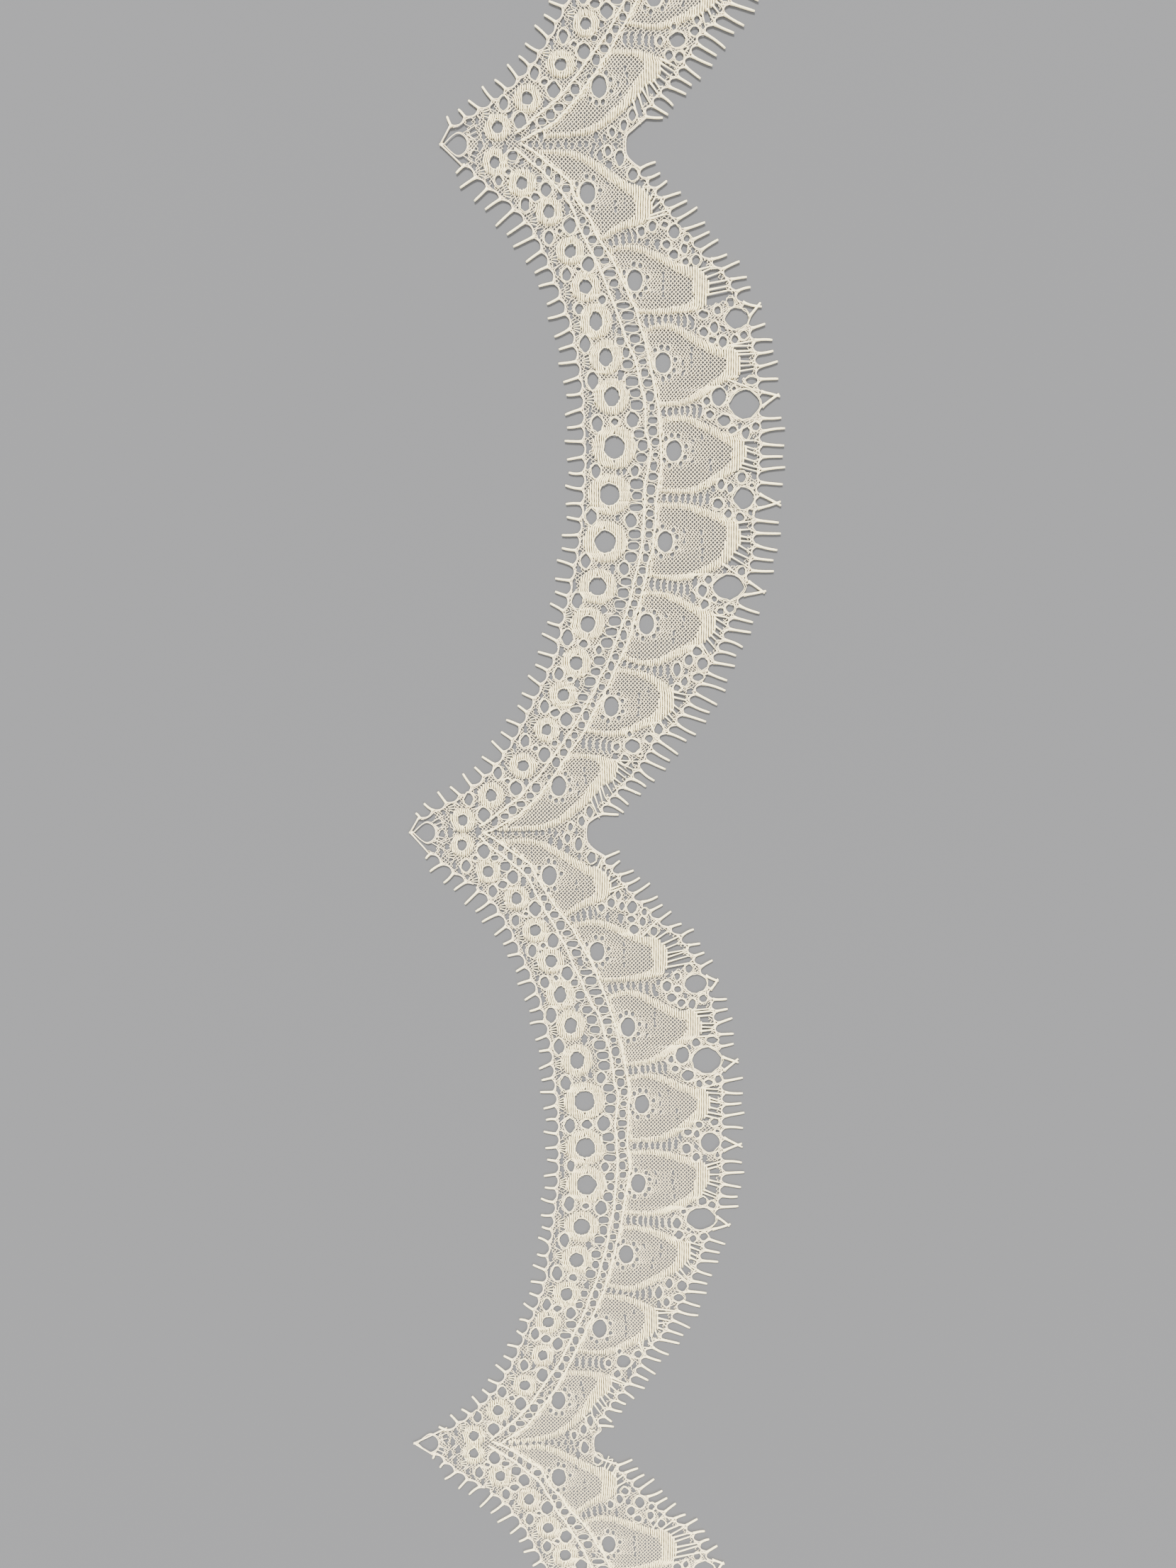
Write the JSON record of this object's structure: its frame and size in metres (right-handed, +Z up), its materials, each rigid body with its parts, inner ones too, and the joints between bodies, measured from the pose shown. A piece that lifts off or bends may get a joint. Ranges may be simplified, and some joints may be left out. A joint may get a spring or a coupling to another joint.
{
  "type": "lace edging",
  "caption": "Flat cut length of scalloped openwork lace edging: a row of thread rings with round holes, fan-shaped petals with oval holes, and clipped thread ends along both edges.",
  "frame": {"origin": "centre of the bounding box in X and Y, on the underside that lies on the surface", "axes": "+Y along the length of the edging, +X towards its scalloped side, +Z up through its thickness"},
  "size_m": [0.0586, 0.2584, 0.001],
  "materials": {
    "ivory_cotton": "matte ivory cotton thread, openwork"
  },
  "bodies": {
    "root": {"lace_edging": "ivory_cotton"}
  },
  "joints": []
}
